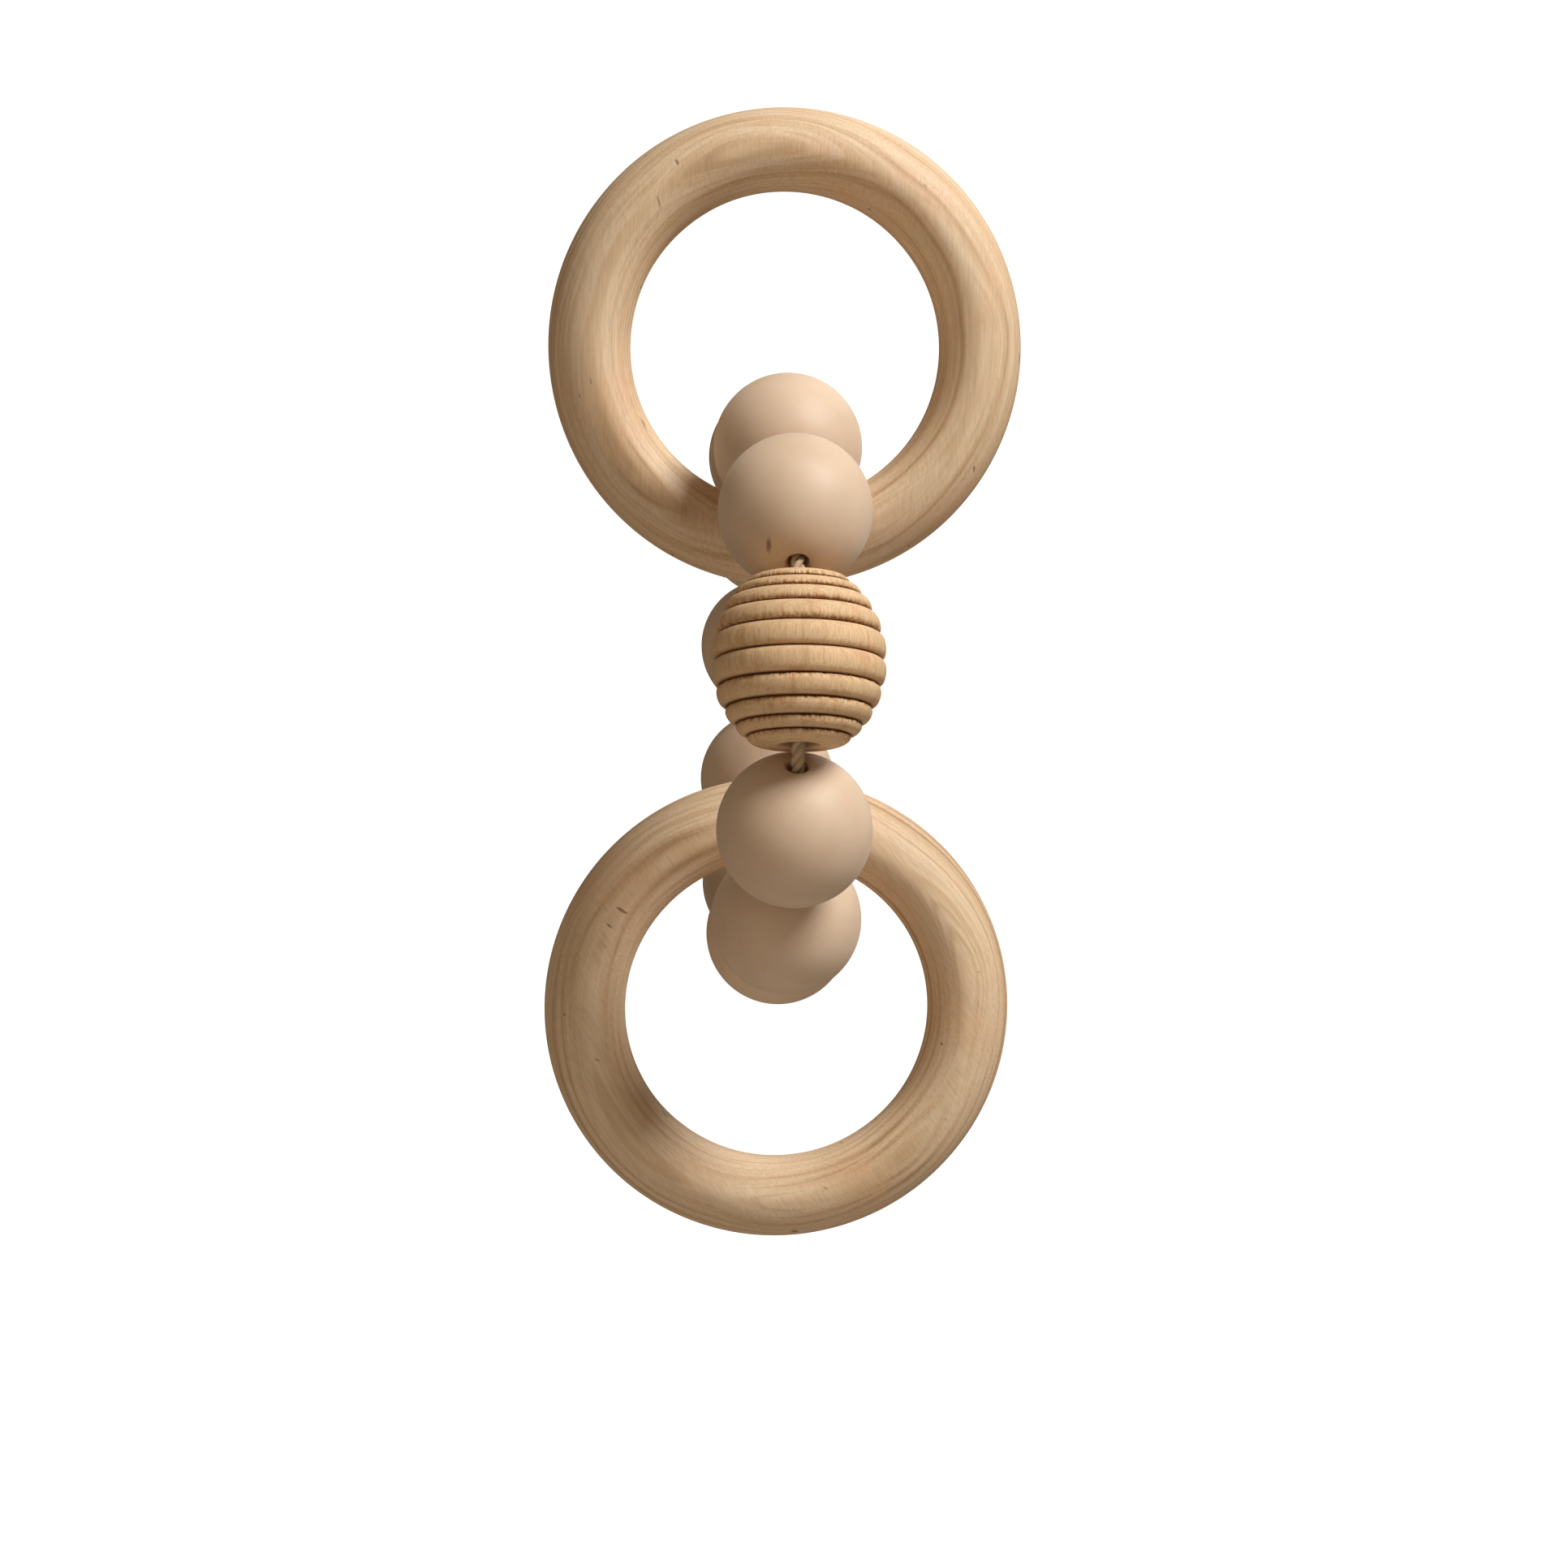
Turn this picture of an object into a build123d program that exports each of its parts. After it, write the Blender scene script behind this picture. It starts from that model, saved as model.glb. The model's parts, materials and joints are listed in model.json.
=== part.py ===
"""Hand-held baby rattle: two turned wooden rings linked through a closed string of beads.

Frame: the origin is the middle of the upper ring's top section, where a hand holds it.
+X is to the right, +Y away from the viewer and +Z up. The bead string hangs in the YZ plane
over the upper ring's lowest section, and the lower ring hangs inside the string's lowest bead.
Every size is in millimetres.
"""

import math
import os

from build123d import *

# ---- wooden rings -----------------------------------------------------------------------------
RING_OUTER_DIA = 65.0
RING_BORE_DIA = 42.4
RING_THICKNESS = 12.0
RING_EDGE_LAND = 1.6  # width of the narrow flat left on the outer and on the bore wall
RING_RIDGE_INSET = 4.9  # the two round-overs of a face meet this far out from the bore wall
ROUND_OVER_BULGE = 0.165  # rise of a round-over's arc as a share of its chord

# ---- silicone beads ---------------------------------------------------------------------------
BEAD_DIA = 20.0
BEAD_MOUTH_RADIUS = 0.7  # rounding where the bore opens

# ---- ribbed wooden bead -----------------------------------------------------------------------
RIBBED_DIA = 22.0
RIBBED_LENGTH = 21.6
RIBBED_OVAL_LENGTH = 24.8  # length that the oval would have if its ends weren't cut flat
GROOVE_DEPTH = 0.6
GROOVE_WIDTH = 0.5
GROOVE_PLACES = (3.3, 6.0, 8.1, 9.6)  # from the middle groove, the same both ways
RIB_CROWN = 0.12  # rise of a rib's face above the line between its two corners
RIBBED_LEAN = 4.0  # degrees that the loose-bored bead leans back from the cord's direction

# ---- cord and knot ----------------------------------------------------------------------------
CORD_DIA = 1.8
CORD_BEND_RADIUS = 9.0  # at each place where the cord turns from one bead to the next
BORE_CLEARANCE = 1.0  # a silicone bead's bore is wider than the cord by this
KNOT_DIA = 4.2
KNOT_LENGTH = 5.0
KNOT_CLEARANCE = 0.8  # the ribbed bead's bore is wider than the knot by this

# ---- how the pieces hang ----------------------------------------------------------------------
BEADS_BEFORE_RIBBED = 2  # silicone beads between the notch at the top and the ribbed bead
BEADS_AFTER_RIBBED = 8  # silicone beads from the ribbed bead down and back up to the notch
LOOP_HEIGHT_RATIO = 0.88  # the string hangs a little wider from front to back than it is high
LOOP_TILT = 3.3  # degrees that the string turns on the ring so that its weight hangs plumb
BEAD_GAP = 0.12  # between neighbouring beads
RING_GAP = 0.2  # between a turning ring section and the beads that it bears on

# ---- sizes that follow ------------------------------------------------------------------------
BEAD_RADIUS = BEAD_DIA / 2
BEAD_BORE_DIA = CORD_DIA + BORE_CLEARANCE
RIBBED_BORE_DIA = KNOT_DIA + KNOT_CLEARANCE
RING_MID_RADIUS = (RING_OUTER_DIA + RING_BORE_DIA) / 4
RING_WIDTH = (RING_OUTER_DIA - RING_BORE_DIA) / 2
SECTION_REACH = max(RING_WIDTH, RING_THICKNESS) / 2  # leaves room for the section to turn
BEAD_COUNT = BEADS_BEFORE_RIBBED + 1 + BEADS_AFTER_RIBBED
RIBBED_PLACE = BEADS_BEFORE_RIBBED
BOTTOM_PLACE = BEAD_COUNT // 2  # the bead at the string's lowest point carries the lower ring
UPPER_SECTION_Z = -2 * RING_MID_RADIUS  # middle of the upper ring's lowest section


def oval_radius(height):
    """Radius of the ribbed bead's plain oval at a height above its middle."""
    return RIBBED_DIA / 2 * math.sqrt(1 - (2 * height / RIBBED_OVAL_LENGTH) ** 2)


def ring_section():
    """The ring's section in the XY plane: X runs out from the ring's axis and Y along it."""
    bore = RING_BORE_DIA / 2
    outer = RING_OUTER_DIA / 2
    ridge = bore + RING_RIDGE_INSET
    land = RING_EDGE_LAND / 2
    face = RING_THICKNESS / 2
    corners = [
        (bore, -land),
        (bore, land),
        (ridge, face),
        (outer, land),
        (outer, -land),
        (ridge, -face),
    ]
    edges = []
    for start, end in zip(corners, corners[1:] + corners[:1]):
        if start[0] == end[0]:
            edges.append(Line(start, end))
        else:
            chord = math.dist(start, end)
            edges.append(SagittaArc(start, end, ROUND_OVER_BULGE * chord))
    return make_face(edges)


def wooden_ring():
    """One ring about the Y axis, centred on the origin."""
    return revolve(ring_section(), Axis.Y)


def silicone_bead():
    """A ball with a bore along Z whose two mouths are rounded."""
    ball = Sphere(BEAD_RADIUS) - Cylinder(BEAD_BORE_DIA / 2, 2 * BEAD_DIA)
    mouths = ball.edges().filter_by(GeomType.CIRCLE)
    mouths = [e for e in mouths if abs(e.radius - BEAD_BORE_DIA / 2) < 0.01]
    return fillet(mouths, BEAD_MOUTH_RADIUS)


def ribbed_bead():
    """The turned bead about Z: an oval with flat ends, a wide bore and sharp grooves."""
    half = RIBBED_LENGTH / 2
    bore = RIBBED_BORE_DIA / 2
    places = sorted([0.0] + [side * place for place in GROOVE_PLACES for side in (-1, 1)])
    bounds = [-half] + places + [half]
    edges = [Line((bore, -half), (oval_radius(half), -half))]
    for low, high in zip(bounds, bounds[1:]):
        foot = low if low == -half else low + GROOVE_WIDTH / 2
        head = high if high == half else high - GROOVE_WIDTH / 2
        start = (oval_radius(foot), foot)
        end = (oval_radius(head), head)
        middle = (foot + head) / 2
        crown = (oval_radius(middle) + RIB_CROWN, middle)
        edges.append(ThreePointArc(start, crown, end))
        if high < half:
            root = (oval_radius(high) - GROOVE_DEPTH, high)
            above = high + GROOVE_WIDTH / 2
            edges.append(Line(end, root))
            edges.append(Line(root, (oval_radius(above), above)))
    edges.append(Line((oval_radius(half), half), (bore, half)))
    edges.append(Line((bore, half), (bore, -half)))
    profile = Plane.XZ * make_face(edges)
    return revolve(profile, Axis.Z)


def seat_distance(off_axis):
    """Centre distance at which a ball clears the ribbed bead's flat end by BEAD_GAP.

    off_axis is the angle in radians between the bead's bore and the line to the ball.
    """
    half = RIBBED_LENGTH / 2
    rim = oval_radius(half)
    reach = BEAD_RADIUS + BEAD_GAP
    distance = (half + reach) / math.cos(off_axis)
    if distance * math.sin(off_axis) <= rim:
        return distance
    # Past the rim the ball bears on the corner, which is one side of a triangle.
    corner = math.hypot(rim, half)
    between = abs(off_axis - math.atan2(rim, half))
    along = corner * math.cos(between)
    return along + math.sqrt(reach**2 - (corner * math.sin(between)) ** 2)


def loop_point(size, turn):
    """(forward, up) on the oval that the bead centres lie on, at a turn from the top."""
    return size * math.sin(turn), size * LOOP_HEIGHT_RATIO * math.cos(turn)


def next_turn(size, turn, pitch):
    """The turn at which the oval is one pitch further on, by halving."""
    here = loop_point(size, turn)
    low, high = turn, turn + math.pi / 2
    for _ in range(50):
        middle = (low + high) / 2
        if math.dist(here, loop_point(size, middle)) < pitch:
            low = middle
        else:
            high = middle
    return (low + high) / 2


def walk(size, first, pitches):
    """The turns of every bead from the first, and the turn at which the string closes."""
    turns = [first]
    for pitch in pitches:
        turns.append(next_turn(size, turns[-1], pitch))
    return turns


def closed_loop(pitches):
    """The oval's size and bead turns so that the string closes with its notch on top."""
    first = math.pi / len(pitches)
    for _ in range(40):
        low, high = BEAD_DIA, BEAD_DIA * len(pitches)
        for _ in range(50):
            size = (low + high) / 2
            turns = walk(size, first, pitches)
            if turns[-1] - first > 2 * math.pi:
                low = size
            else:
                high = size
        first += ((2 * math.pi - turns[-2]) - first) / 2
    return [loop_point(size, turn) for turn in turns[:-1]]


def cord_direction(points, place):
    """Direction of the cord through a bead, as an angle from forward towards up."""
    before = points[place - 1]
    after = points[(place + 1) % len(points)]
    here = points[place]
    first = math.atan2(here[1] - before[1], here[0] - before[0])
    second = math.atan2(after[1] - here[1], after[0] - here[0])
    turn = (second - first + math.pi) % (2 * math.pi) - math.pi
    return first + turn / 2


def string_of_beads():
    """Bead centres as (forward, up) about the oval's middle, and the cord's directions."""
    plain = BEAD_DIA + BEAD_GAP
    pitches = [plain] * BEAD_COUNT
    lean = math.radians(RIBBED_LEAN)
    for _ in range(6):
        points = closed_loop(pitches)
        bore = cord_direction(points, RIBBED_PLACE) + lean
        for place, link in ((RIBBED_PLACE - 1, -1), (RIBBED_PLACE, 1)):
            other = points[RIBBED_PLACE + link]
            here = points[RIBBED_PLACE]
            line = math.atan2((other[1] - here[1]) * link, (other[0] - here[0]) * link)
            off_axis = (line - bore + math.pi) % (2 * math.pi) - math.pi
            pitches[place] = seat_distance(abs(off_axis))
    directions = [cord_direction(points, place) for place in range(BEAD_COUNT)]
    return points, directions


def corner_between(points, directions, place):
    """Where the cord's line through one bead meets its line through the next."""
    start, end = points[place], points[(place + 1) % BEAD_COUNT]
    a, b = directions[place], directions[(place + 1) % BEAD_COUNT]
    gap = (end[0] - start[0], end[1] - start[1])
    cross = math.cos(a) * math.sin(b) - math.sin(a) * math.cos(b)
    along = (gap[0] * math.sin(b) - gap[1] * math.cos(b)) / cross
    return start[0] + along * math.cos(a), start[1] + along * math.sin(a)


def hang(points, directions):
    """The string turned about the ring section it hangs on, which becomes the points' origin."""
    notch_half = abs(points[0][0] - points[-1][0]) / 2
    seat = BEAD_RADIUS + SECTION_REACH + RING_GAP
    drop = points[0][1] - math.sqrt(seat**2 - notch_half**2)
    tilt = math.radians(LOOP_TILT)
    turned = []
    for forward, up in points:
        up -= drop
        turned.append(
            (
                forward * math.cos(tilt) - up * math.sin(tilt),
                forward * math.sin(tilt) + up * math.cos(tilt),
            )
        )
    return turned, [direction + tilt for direction in directions]


def in_frame(point):
    """A (forward, up) point about the hanging place as a point of the whole rattle."""
    return (0, -point[0], UPPER_SECTION_Z + point[1])


def bead_location(point, direction):
    """Place of a bead whose bore, along its own Z, follows the cord's direction."""
    axis = (0, -math.cos(direction), math.sin(direction))
    return Plane(origin=in_frame(point), x_dir=(1, 0, 0), z_dir=axis).location


def cord_path(points, directions):
    """The closed line of the cord: straight through each bead and bent between two."""
    corners = [corner_between(points, directions, place) for place in range(BEAD_COUNT)]
    route = [in_frame(corner) for corner in corners]
    return FilletPolyline(route, radius=CORD_BEND_RADIUS, close=True)


def cord_knot():
    """The knot about Z: a rounded lump that fills the ribbed bead's bore round the cord."""
    lump = fillet(Cylinder(KNOT_DIA / 2, KNOT_LENGTH).edges(), KNOT_DIA * 0.3)
    return lump - Cylinder(CORD_DIA / 2, 2 * KNOT_LENGTH)


def rattle():
    """Every piece of the rattle in its place, by node name."""
    points, directions = hang(*string_of_beads())
    _, bottom_y, bottom_z = in_frame(points[BOTTOM_PLACE])
    lower_section = bottom_z + BEAD_RADIUS + SECTION_REACH + RING_GAP
    ring = wooden_ring()
    pieces = {
        "upper_ring": Pos(0, 0, UPPER_SECTION_Z + RING_MID_RADIUS) * ring,
        "lower_ring": Pos(0, bottom_y, lower_section - RING_MID_RADIUS) * ring,
    }
    print(f"upper section z {UPPER_SECTION_Z:.3f}, lower section z {lower_section:.3f}")

    ball = silicone_bead()
    number = 0
    for place in range(BEAD_COUNT):
        point, direction = points[place], directions[place]
        if place == RIBBED_PLACE:
            name = "ribbed_bead"
            spot = bead_location(point, direction + math.radians(RIBBED_LEAN))
            pieces[name] = spot * ribbed_bead()
        else:
            number += 1
            name = f"silicone_bead_{number:02d}"
            pieces[name] = bead_location(point, direction) * ball
        _, y, z = in_frame(point)
        axis_y, axis_z = -math.cos(direction), math.sin(direction)
        print(f"{name}: y {y:.3f} z {z:.3f}, cord axis 0 {axis_y:.5f} {axis_z:.5f}")

    path = cord_path(points, directions)
    print(f"cord: length {path.length:.2f}, every bend radius {CORD_BEND_RADIUS}")
    section = Plane(origin=path @ 0, z_dir=path % 0) * Circle(CORD_DIA / 2)
    pieces["cord"] = sweep(section, path=path)
    knot_spot = bead_location(points[RIBBED_PLACE], directions[RIBBED_PLACE])
    pieces["cord_knot"] = knot_spot * cord_knot()
    return pieces


os.makedirs("parts", exist_ok=True)
for name, piece in rattle().items():
    export_step(piece, f"parts/{name}.step")
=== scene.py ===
"""Looks of a hand-held baby rattle: two turned rings linked through a string of beads.

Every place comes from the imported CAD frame: the rings from their nodes' boxes, and the beads
from the joints that they spin on. Lengths in the classes of pieces and finishes are in
millimetres, as a maker would write them. The meshes are made in metres, and the studio's
lengths are in metres unless a name ends in mm.
"""

import json
import logging
import math
from collections.abc import Callable, Iterable, Sequence
from dataclasses import dataclass, field
from enum import Enum

import bpy
from mathutils import Matrix, Vector, noise

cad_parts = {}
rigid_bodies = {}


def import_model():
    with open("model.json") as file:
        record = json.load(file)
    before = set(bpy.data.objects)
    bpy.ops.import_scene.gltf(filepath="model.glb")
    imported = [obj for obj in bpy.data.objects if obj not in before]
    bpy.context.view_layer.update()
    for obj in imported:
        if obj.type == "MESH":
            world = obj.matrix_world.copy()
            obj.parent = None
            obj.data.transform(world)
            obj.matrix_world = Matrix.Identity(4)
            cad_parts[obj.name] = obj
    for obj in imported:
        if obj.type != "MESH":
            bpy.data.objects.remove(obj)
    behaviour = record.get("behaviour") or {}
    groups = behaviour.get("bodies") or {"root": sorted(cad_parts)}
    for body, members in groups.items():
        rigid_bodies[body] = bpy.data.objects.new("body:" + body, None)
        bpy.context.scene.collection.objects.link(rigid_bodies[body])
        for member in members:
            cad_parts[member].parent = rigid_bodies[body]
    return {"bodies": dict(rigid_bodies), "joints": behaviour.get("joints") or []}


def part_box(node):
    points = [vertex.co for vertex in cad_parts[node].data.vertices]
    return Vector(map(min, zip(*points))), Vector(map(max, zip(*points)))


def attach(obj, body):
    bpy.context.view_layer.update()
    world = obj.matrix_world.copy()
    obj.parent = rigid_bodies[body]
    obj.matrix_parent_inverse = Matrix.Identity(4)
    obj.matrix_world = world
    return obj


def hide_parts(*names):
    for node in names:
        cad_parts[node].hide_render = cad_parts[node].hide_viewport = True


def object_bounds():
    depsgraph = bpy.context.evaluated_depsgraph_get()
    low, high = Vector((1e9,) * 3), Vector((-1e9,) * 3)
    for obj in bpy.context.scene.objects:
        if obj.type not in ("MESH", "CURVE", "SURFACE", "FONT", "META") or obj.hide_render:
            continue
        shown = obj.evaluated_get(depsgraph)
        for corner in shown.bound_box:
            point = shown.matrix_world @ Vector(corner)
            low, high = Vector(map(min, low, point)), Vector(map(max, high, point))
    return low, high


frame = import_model()
CAD_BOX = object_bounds()

MM = 0.001
LOG = logging.getLogger("rattle")

SHIFT_PER_BEAD = (13.0, 5.0)  # each bead's finish starts this much further on, in millimetres
SCUFFED_BEAD = 1  # its place along the cord, from zero
SCUFF_PLACE = (-3.8, 2.2, 9.0)

Point = tuple[float, float]
Triple = tuple[float, float, float]
Profile = Sequence[Point]
Wobble = Callable[[float, float, float], float]
Colour = tuple[float, float, float, float]
Socket = bpy.types.NodeSocket


class Slot(Enum):
    """The record's material slots."""

    RING = "ring_wood"
    RIBBED = "ribbed_wood"
    SILICONE = "silicone"
    CORD = "cord_fibre"


class GrainRun(Enum):
    """The direction that a ring's wood fibres run in, as turns about the ring's axis."""

    UPRIGHT = 0.0
    SLANTED = 0.62


# ---- small tools ----


def rgb(red: float, green: float, blue: float) -> Colour:
    """Return an opaque linear colour.

    Args:
        red: Share of red light that it reflects.
        green: Share of green light.
        blue: Share of blue light.

    Returns:
        The colour with full alpha.
    """
    return (red, green, blue, 1.0)


@dataclass
class Bench:
    """One material's node tree, and the few moves it is built with.

    Args:
        name: The material's name.
    """

    name: str
    material: bpy.types.Material = field(init=False)

    def __post_init__(self) -> None:
        """Make the empty material with its output."""
        self.material = bpy.data.materials.new(self.name)
        self.material.use_nodes = True
        self.tree = self.material.node_tree
        self.tree.nodes.clear()
        self.output = self.tree.nodes.new("ShaderNodeOutputMaterial")

    def add(self, kind: str, inputs: dict | None = None, **settings: object) -> bpy.types.Node:
        """Add a node.

        Args:
            kind: The node's type, without the "ShaderNode" that every type starts with.
            inputs: Values or sockets by input name or number.
            **settings: The node's own properties.

        Returns:
            The new node.
        """
        node = self.tree.nodes.new("ShaderNode" + kind)
        for key, value in settings.items():
            setattr(node, key, value)
        for key, value in (inputs or {}).items():
            if isinstance(value, Socket):
                self.tree.links.new(value, node.inputs[key])
            else:
                node.inputs[key].default_value = value
        return node

    def calculate(self, operation: str, first: object, second: object, third: object = None) -> Socket:
        """Return the result of one math node.

        Args:
            operation: The node's operation.
            first: A number or a socket.
            second: Another.
            third: Another, for an operation that takes three.

        Returns:
            The value socket.
        """
        inputs = {0: first, 1: second}
        if third is not None:
            inputs[2] = third
        return self.add("Math", inputs, operation=operation).outputs[0]

    def millimetres(self, shift: Sequence[float] = (0, 0, 0)) -> Socket:
        """Return the piece's own coordinates in millimetres, moved by shift first.

        Args:
            shift: Offset in millimetres, so that two pieces differ.

        Returns:
            The vector socket.
        """
        place = self.add("TexCoord").outputs["Object"]
        node = self.add("Mapping", {"Vector": place, "Location": shift, "Scale": (1 / MM,) * 3})
        return node.outputs[0]

    def stretched(self, vector: Socket, scale: Sequence[float], turn: float = 0.0) -> Socket:
        """Return a vector turned about Y and then scaled along each axis.

        Args:
            vector: The vector socket.
            scale: The scale along each axis.
            turn: The turn in radians.

        Returns:
            The vector socket.
        """
        turned = self.add("Mapping", {"Vector": vector, "Rotation": (0, turn, 0)}).outputs[0]
        return self.add("Mapping", {"Vector": turned, "Scale": scale}).outputs[0]

    def cloud(self, vector: Socket, scale: float = 1.0, detail: float = 3.0, rough: float = 0.55) -> Socket:
        """Return a noise value, about 0.5 on average.

        Args:
            vector: Where the noise is read.
            scale: Its fineness.
            detail: Number of finer layers on it.
            rough: How strong the finer layers are.

        Returns:
            The value socket.
        """
        inputs = {"Vector": vector, "Scale": scale, "Detail": detail, "Roughness": rough}
        return self.add("TexNoise", inputs).outputs["Fac"]

    def grain(
        self, vector: Socket, stretch: Triple, detail: float = 3.0, rough: float = 0.55, turn: float = 0.0
    ) -> Socket:
        """Return noise that is drawn out along the axes where stretch is small.

        Args:
            vector: Where the noise is read, in millimetres.
            stretch: Its fineness along each axis, as spots in a millimetre.
            detail: Number of finer layers on it.
            rough: How strong the finer layers are.
            turn: Turn of its axes about Y, in radians.

        Returns:
            The value socket.
        """
        return self.cloud(self.stretched(vector, stretch, turn), 1.0, detail, rough)

    def specks(self, vector: Socket, per_mm: float) -> Socket:
        """Return the distance to the nearest of many scattered spots.

        Args:
            vector: Where it is read, in millimetres.
            per_mm: How close together the spots are.

        Returns:
            The distance socket, in gaps between spots.
        """
        place = self.stretched(vector, (per_mm,) * 3)
        return self.add("TexVoronoi", {"Vector": place, "Scale": 1.0}).outputs["Distance"]

    def ramp(self, value: Socket, stops: Iterable[tuple[float, Colour]]) -> Socket:
        """Return the colour of a ramp at a value.

        Args:
            value: The socket that is looked up.
            stops: Places from 0 to 1 and their colours.

        Returns:
            The colour socket.
        """
        node = self.add("ValToRGB", {0: value})
        stops = list(stops)
        marks = node.color_ramp.elements
        while len(marks) < len(stops):
            marks.new(0.5)
        for mark, (place, colour) in zip(marks, stops):
            mark.position = place
            mark.color = colour
        return node.outputs["Color"]

    def band(self, value: Socket, low: float, high: float, start: float = 0.0, end: float = 1.0) -> Socket:
        """Return a value carried smoothly from one range to another.

        Args:
            value: The value socket.
            low: Value at which the result is start.
            high: Value at which the result is end.
            start: The result up to low.
            end: The result from high on.

        Returns:
            The value socket.
        """
        inputs = {0: value, 1: low, 2: high, 3: start, 4: end}
        return self.add("MapRange", inputs, interpolation_type="SMOOTHSTEP").outputs[0]

    def blend(self, share: object, first: object, second: object, way: str = "MIX") -> Socket:
        """Return two colours mixed by a share.

        Args:
            share: Share of the second colour.
            first: A colour or its socket.
            second: Another.
            way: The node's blend type.

        Returns:
            The colour socket.
        """
        node = self.add("Mix", {0: share, 6: first, 7: second}, data_type="RGBA", blend_type=way)
        return node.outputs[2]

    def shaded(self, colour: Socket, shade: Socket) -> Socket:
        """Return a colour multiplied by a shade.

        Args:
            colour: The colour socket.
            shade: The value socket, 1 where the colour stays.

        Returns:
            The colour socket.
        """
        grey = self.add("CombineColor", {0: shade, 1: shade, 2: shade}).outputs[0]
        return self.blend(1.0, colour, grey, "MULTIPLY")

    def relief(
        self,
        height: Socket,
        depth_mm: float,
        strength: float,
        under: Socket | None = None,
    ) -> Socket:
        """Return a bumped normal.

        Args:
            height: The height socket, from 0 to 1.
            depth_mm: The height's full range in millimetres.
            strength: Share of the relief that shows.
            under: The normal that this relief lies on.

        Returns:
            The normal socket.
        """
        inputs = {"Height": height, "Distance": depth_mm * MM, "Strength": strength}
        if under is not None:
            inputs["Normal"] = under
        return self.add("Bump", inputs).outputs[0]

    def finish(self, **inputs: object) -> bpy.types.Material:
        """Close the tree with one surface shader.

        Args:
            **inputs: The shader's inputs, with underscores for spaces.

        Returns:
            The finished material.
        """
        named = {key.replace("_", " "): value for key, value in inputs.items()}
        shader = self.add("BsdfPrincipled", named)
        self.tree.links.new(shader.outputs[0], self.output.inputs[0])
        return self.material


def arc(centre: Point, radius: float, start: float, end: float, steps: int) -> list[Point]:
    """Return points along an arc.

    Args:
        centre: The arc's centre.
        radius: Its radius.
        start: Angle of the first point, in radians.
        end: Angle of the last point.
        steps: Number of spans.

    Returns:
        The points, both ends included.
    """
    angles = [start + (end - start) * k / steps for k in range(steps + 1)]
    return [(centre[0] + radius * math.cos(a), centre[1] + radius * math.sin(a)) for a in angles]


def mesh_object(
    name: str,
    points: Sequence[Sequence[float]],
    faces: Sequence[Sequence[int]],
) -> bpy.types.Object:
    """Make a smooth mesh object.

    Args:
        name: The object's name.
        points: Its points in metres.
        faces: The points' numbers, face by face.

    Returns:
        The new object, in the scene.
    """
    mesh = bpy.data.meshes.new(name)
    mesh.from_pydata(points, [], faces)
    mesh.validate()
    mesh.shade_smooth()
    piece = bpy.data.objects.new(name, mesh)
    bpy.context.scene.collection.objects.link(piece)
    return piece


def grid_faces(rows: int, columns: int) -> list[tuple[int, int, int, int]]:
    """Return the faces of a grid of points that closes on itself both ways.

    Args:
        rows: Number of rows of points.
        columns: Number of points in a row.

    Returns:
        Four points' numbers for each face.
    """
    faces = []
    for row in range(rows):
        for column in range(columns):
            right = (column + 1) % columns
            below = (row + 1) % rows
            corners = (row, column), (row, right), (below, right), (below, column)
            faces.append(tuple(r * columns + c for r, c in corners))
    return faces


def lathe(name: str, profile: Profile, steps: int, wobble: Wobble | None = None) -> bpy.types.Object:
    """Turn a closed profile about the Z axis.

    Args:
        name: The piece's name.
        profile: Closed outline as (radius, height) in millimetres, seen counterclockwise.
        steps: Number of faces round the axis.
        wobble: Extra radius in millimetres at (radius, height, angle), if any.

    Returns:
        The turned piece, centred on the origin.
    """
    points = []
    for radius, height in profile:
        for step in range(steps):
            angle = 2 * math.pi * step / steps
            reach = radius + (wobble(radius, height, angle) if wobble else 0.0)
            points.append((reach * math.cos(angle) * MM, reach * math.sin(angle) * MM, height * MM))
    faces = [tuple(reversed(face)) for face in grid_faces(len(profile), steps)]
    return mesh_object(name, points, faces)


def paint_attribute(piece: bpy.types.Object, name: str, values: Sequence[float]) -> None:
    """Store one number for each of a piece's points, for its finish to read.

    Args:
        piece: The mesh object.
        name: The name that the finish reads it by.
        values: One number for each point.
    """
    layer = piece.data.attributes.new(name, "FLOAT", "POINT")
    layer.data.foreach_set("value", values)


def joint_of(body: str) -> dict:
    """Return the frame's joint that moves a body.

    Args:
        body: The CAD body.

    Returns:
        The joint's row in the frame.
    """
    return next(joint for joint in frame["joints"] if joint["child"] == body)


def bore_matrix(body: str) -> Matrix:
    """Return the place of a bead whose bore, its own Z, lies on its joint's axis.

    Args:
        body: The bead's CAD body.

    Returns:
        The bead's matrix in metres.
    """
    joint = joint_of(body)
    bore = Vector(joint["axis"]).normalized()
    side = Vector((1, 0, 0))
    rotation = Matrix((side, bore.cross(side), bore)).transposed().to_4x4()
    return Matrix.Translation(Vector(joint["pos_m"])) @ rotation


def hand_over(
    piece: bpy.types.Object,
    body: str,
    node: str,
    finish: bpy.types.Material,
) -> None:
    """Dress a piece and fasten it to the frame.

    Args:
        piece: The finished mesh, in its place.
        body: The CAD body that it rides on.
        node: The CAD node that it stands for.
        finish: Its material.
    """
    piece.data.materials.append(finish)
    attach(piece, body)
    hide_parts(node)
    LOG.info("%s: %d faces, rides on %s", piece.name, len(piece.data.polygons), body)


# ---- finishes ----


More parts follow.
